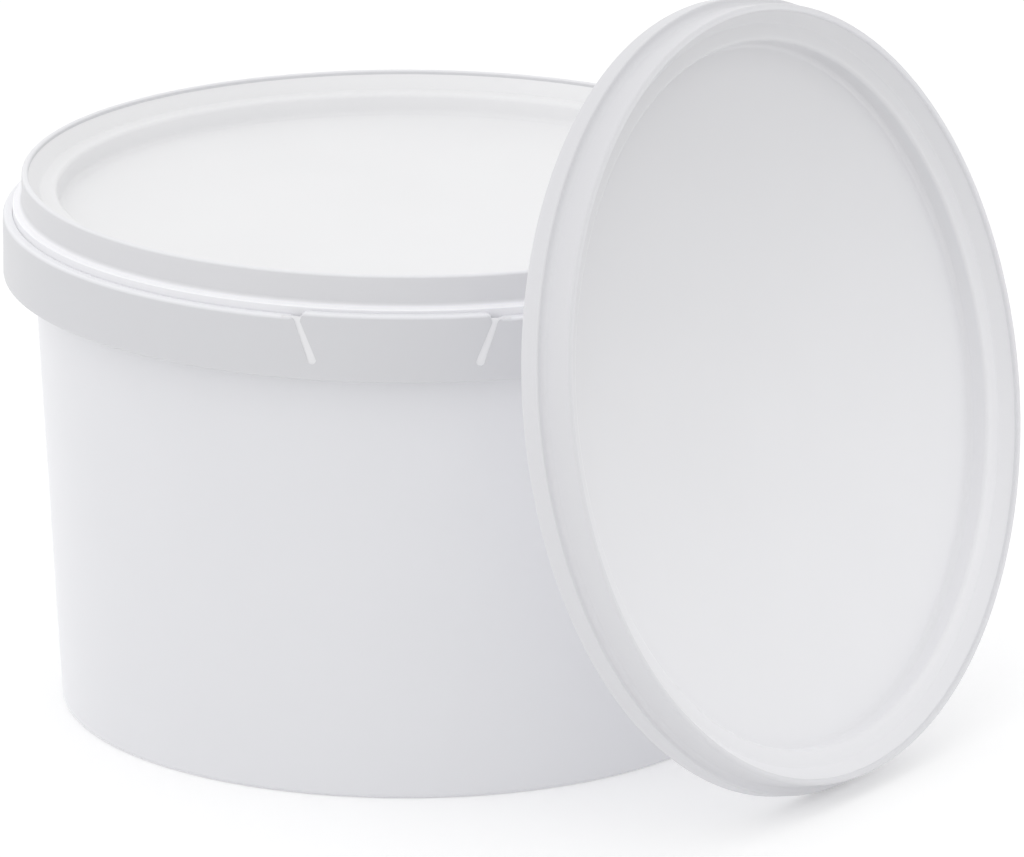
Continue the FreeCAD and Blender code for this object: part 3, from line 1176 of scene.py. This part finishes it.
@dataclass(frozen=True)
class Softbox:
    """A square studio lamp that faces a point.

    Args:
        name: Name of the lamp.
        azimuth: Where it stands, in degrees from the camera, anticlockwise from above.
        elevation: Height of it above the horizon, in degrees.
        distance: Distance from the object, in metres.
        size: Side of the lamp, in metres.
        power: Radiant power, in watts.
    """

    name: str
    azimuth: float
    elevation: float
    distance: float
    size: float
    power: float

    def build(self, aim: Vector, camera_azimuth: float) -> bpy.types.Object:
        """Adds the lamp, facing a point, with its azimuth counted from the camera's."""
        turned = math.radians(camera_azimuth + self.azimuth)
        lift = math.radians(self.elevation)
        away = Vector((
            math.sin(turned) * math.cos(lift),
            -math.cos(turned) * math.cos(lift),
            math.sin(lift),
        ))
        data = bpy.data.lights.new(self.name, "AREA")
        data.shape = "SQUARE"
        data.size = self.size
        data.energy = self.power
        lamp = bpy.data.objects.new(self.name, data)
        bpy.context.scene.collection.objects.link(lamp)
        lamp.location = aim + away * self.distance
        lamp.rotation_mode = "QUATERNION"
        lamp.rotation_quaternion = away.to_track_quat("Z", "Y")
        lamp.visible_camera = False
        return lamp


@dataclass(frozen=True)
class Studio:
    """Camera, floor, sky and lamps, in metres and degrees, with the lens in millimetres.

    Args:
        camera_azimuth: Where the camera stands round the tub, from -Y.
        heading: How far it looks to the right of the tub's axis.
        pitch: How far it looks down.
        roll: Its turn about its own line of sight.
        floor_gap: How far the floor lies under the tub.
        dim_azimuth: Where the sky is dimmest, from the camera.
        aim_height: Height of the point that the lamps face.
    """

    camera_azimuth: float = 32.5
    camera_distance: float = 1.8539
    camera_height: float = 0.6089
    heading: float = 0.5443
    pitch: float = 16.902
    roll: float = 0.229
    lens: float = 410.5
    sensor: float = 36.0
    sight: float = 30.0
    floor_size: float = 12.0
    floor_gap: float = 0.00005
    sky_dim: float = 0.73
    sky_full: float = 1.03
    dim_azimuth: float = 45.0
    aim_height: float = 0.05
    softboxes: tuple[Softbox, ...] = (
        Softbox("top_box", -10.0, 68.0, 1.3, 1.2, 1.4),
        Softbox("front_box", -25.0, 15.0, 1.1, 0.7, 0.45),
        Softbox("low_right_box", 80.0, 2.0, 0.35, 0.2, 0.10),
    )

    def add_camera(self, axis: Vector) -> bpy.types.Object:
        """Adds the camera, which looks down on the tub from its viewing side."""
        turned = math.radians(self.camera_azimuth)
        data = bpy.data.cameras.new("camera")
        data.lens = self.lens
        data.sensor_width = self.sensor
        data.clip_end = self.sight
        camera = bpy.data.objects.new("camera", data)
        bpy.context.scene.collection.objects.link(camera)
        camera.location = axis + Vector((
            math.sin(turned) * self.camera_distance,
            -math.cos(turned) * self.camera_distance,
            self.camera_height,
        ))
        heading = turned - math.radians(self.heading)
        pitch = math.radians(self.pitch)
        forward = Vector((
            -math.sin(heading) * math.cos(pitch),
            math.cos(heading) * math.cos(pitch),
            -math.sin(pitch),
        ))
        level = Vector((math.cos(heading), math.sin(heading), 0.0))
        upward = level.cross(forward)
        roll = math.radians(self.roll)
        right = level * math.cos(roll) + upward * math.sin(roll)
        upward = right.cross(forward)
        turn_matrix = Matrix((right, upward, -forward)).transposed()
        camera.rotation_mode = "QUATERNION"
        camera.rotation_quaternion = turn_matrix.to_quaternion()
        bpy.context.scene.camera = camera
        return camera

    def add_floor(self) -> bpy.types.Object:
        """Adds the floor, which belongs to the stage."""
        deselect_all()
        bpy.ops.mesh.primitive_plane_add(
            size=self.floor_size, location=(0.0, 0.0, -self.floor_gap)
        )
        floor = bpy.context.object
        floor.name = "floor"
        settle(floor)
        floor.data.materials.append(StudioFloor().build())
        return floor

    def add_sky(self) -> None:
        """Fills the surroundings with soft white light and shows them as plain white."""
        world = bpy.data.worlds.new("studio")
        bpy.context.scene.world = world
        tree = NodeTree(world)
        turned = math.radians(self.camera_azimuth + self.dim_azimuth)
        way = tree.add("ShaderNodeTexCoord")
        facing = tree.add(
            "ShaderNodeVectorMath",
            {0: way.outputs["Generated"], 1: (math.sin(turned), -math.cos(turned), 0.0)},
            operation="DOT_PRODUCT",
        )
        strength = tree.ramp(
            facing.outputs["Value"], (-1.0, self.sky_full), (1.0, self.sky_dim), "SMOOTHSTEP"
        )
        light = tree.add("ShaderNodeBackground", {"Color": WHITE, "Strength": strength})
        shown = tree.add("ShaderNodeBackground", {"Color": WHITE, "Strength": 1.0})
        path = tree.add("ShaderNodeLightPath")
        mix = tree.add(
            "ShaderNodeMixShader",
            {
                "Fac": path.outputs["Is Camera Ray"],
                1: light.outputs["Background"],
                2: shown.outputs["Background"],
            },
        )
        tree.add("ShaderNodeOutputWorld", {"Surface": mix.outputs["Shader"]})

    def build(self, axis: Vector) -> None:
        """Sets up the whole studio round the tub.

        Args:
            axis: A point on the tub's axis, on the ground.
        """
        bpy.context.scene.view_settings.view_transform = "Standard"
        self.add_camera(axis)
        self.add_floor()
        self.add_sky()
        aim = axis + Vector((0.0, 0.0, self.aim_height))
        for softbox in self.softboxes:
            softbox.build(aim, self.camera_azimuth)


# --------------------------------------------------------------------------------------
# Main
# --------------------------------------------------------------------------------------


def main() -> None:
    """Builds the studio and the pieces in order and reports each one."""
    logging.basicConfig(level=logging.INFO, format="%(name)s: %(message)s")
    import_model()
    tub_low, tub_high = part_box("tub")
    lid_low, lid_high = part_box("lid")
    loose_low, loose_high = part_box("loose_lid")
    middle = (tub_low + tub_high) / 2
    axis = Vector((middle.x, middle.y, 0.0))

    Studio().build(axis)

    tub_skin = TUB_PLASTIC.build()
    web_skin = WEB_PLASTIC.build()
    tub = Tub()
    tub.hand_over(tub.build_body(tub_low, tub_high), tub_skin, Slot.TUB, "tub")
    tub.hand_over(tub.build_ribs(tub_low, tub_high), tub_skin, Slot.TUB, "tub")
    for side in Side:
        tub.hand_over(tub.build_web(side, tub_low, tub_high), web_skin, Slot.TUB, "tub")

    lid = PressLid()
    band_skin = SEATED_BAND_PLASTIC.build()
    # The seated lid's panel is painted lighter than its band: painted light.
    seated = lid.build("seated_lid", band_skin, SEATED_PANEL_PLASTIC.build(), band_skin)
    lid.press_on(seated, lid_low, lid_high)
    lid.hand_over(seated, None, Slot.LID, "lid")

    # The spare lid takes its own darker copies of the lid plastic, with painted glow: painted shade
    # and light.
    spare = lid.build(
        "spare_lid",
        SPARE_BAND_PLASTIC.build(),
        SPARE_PANEL_PLASTIC.build(),
        SPARE_BACK_PLASTIC.build(),
    )
    lid.lean_back(spare, loose_low, loose_high, Leaning())
    lid.hand_over(spare, None, Slot.LID, "loose_lid")


if __name__ == "__main__":
    main()
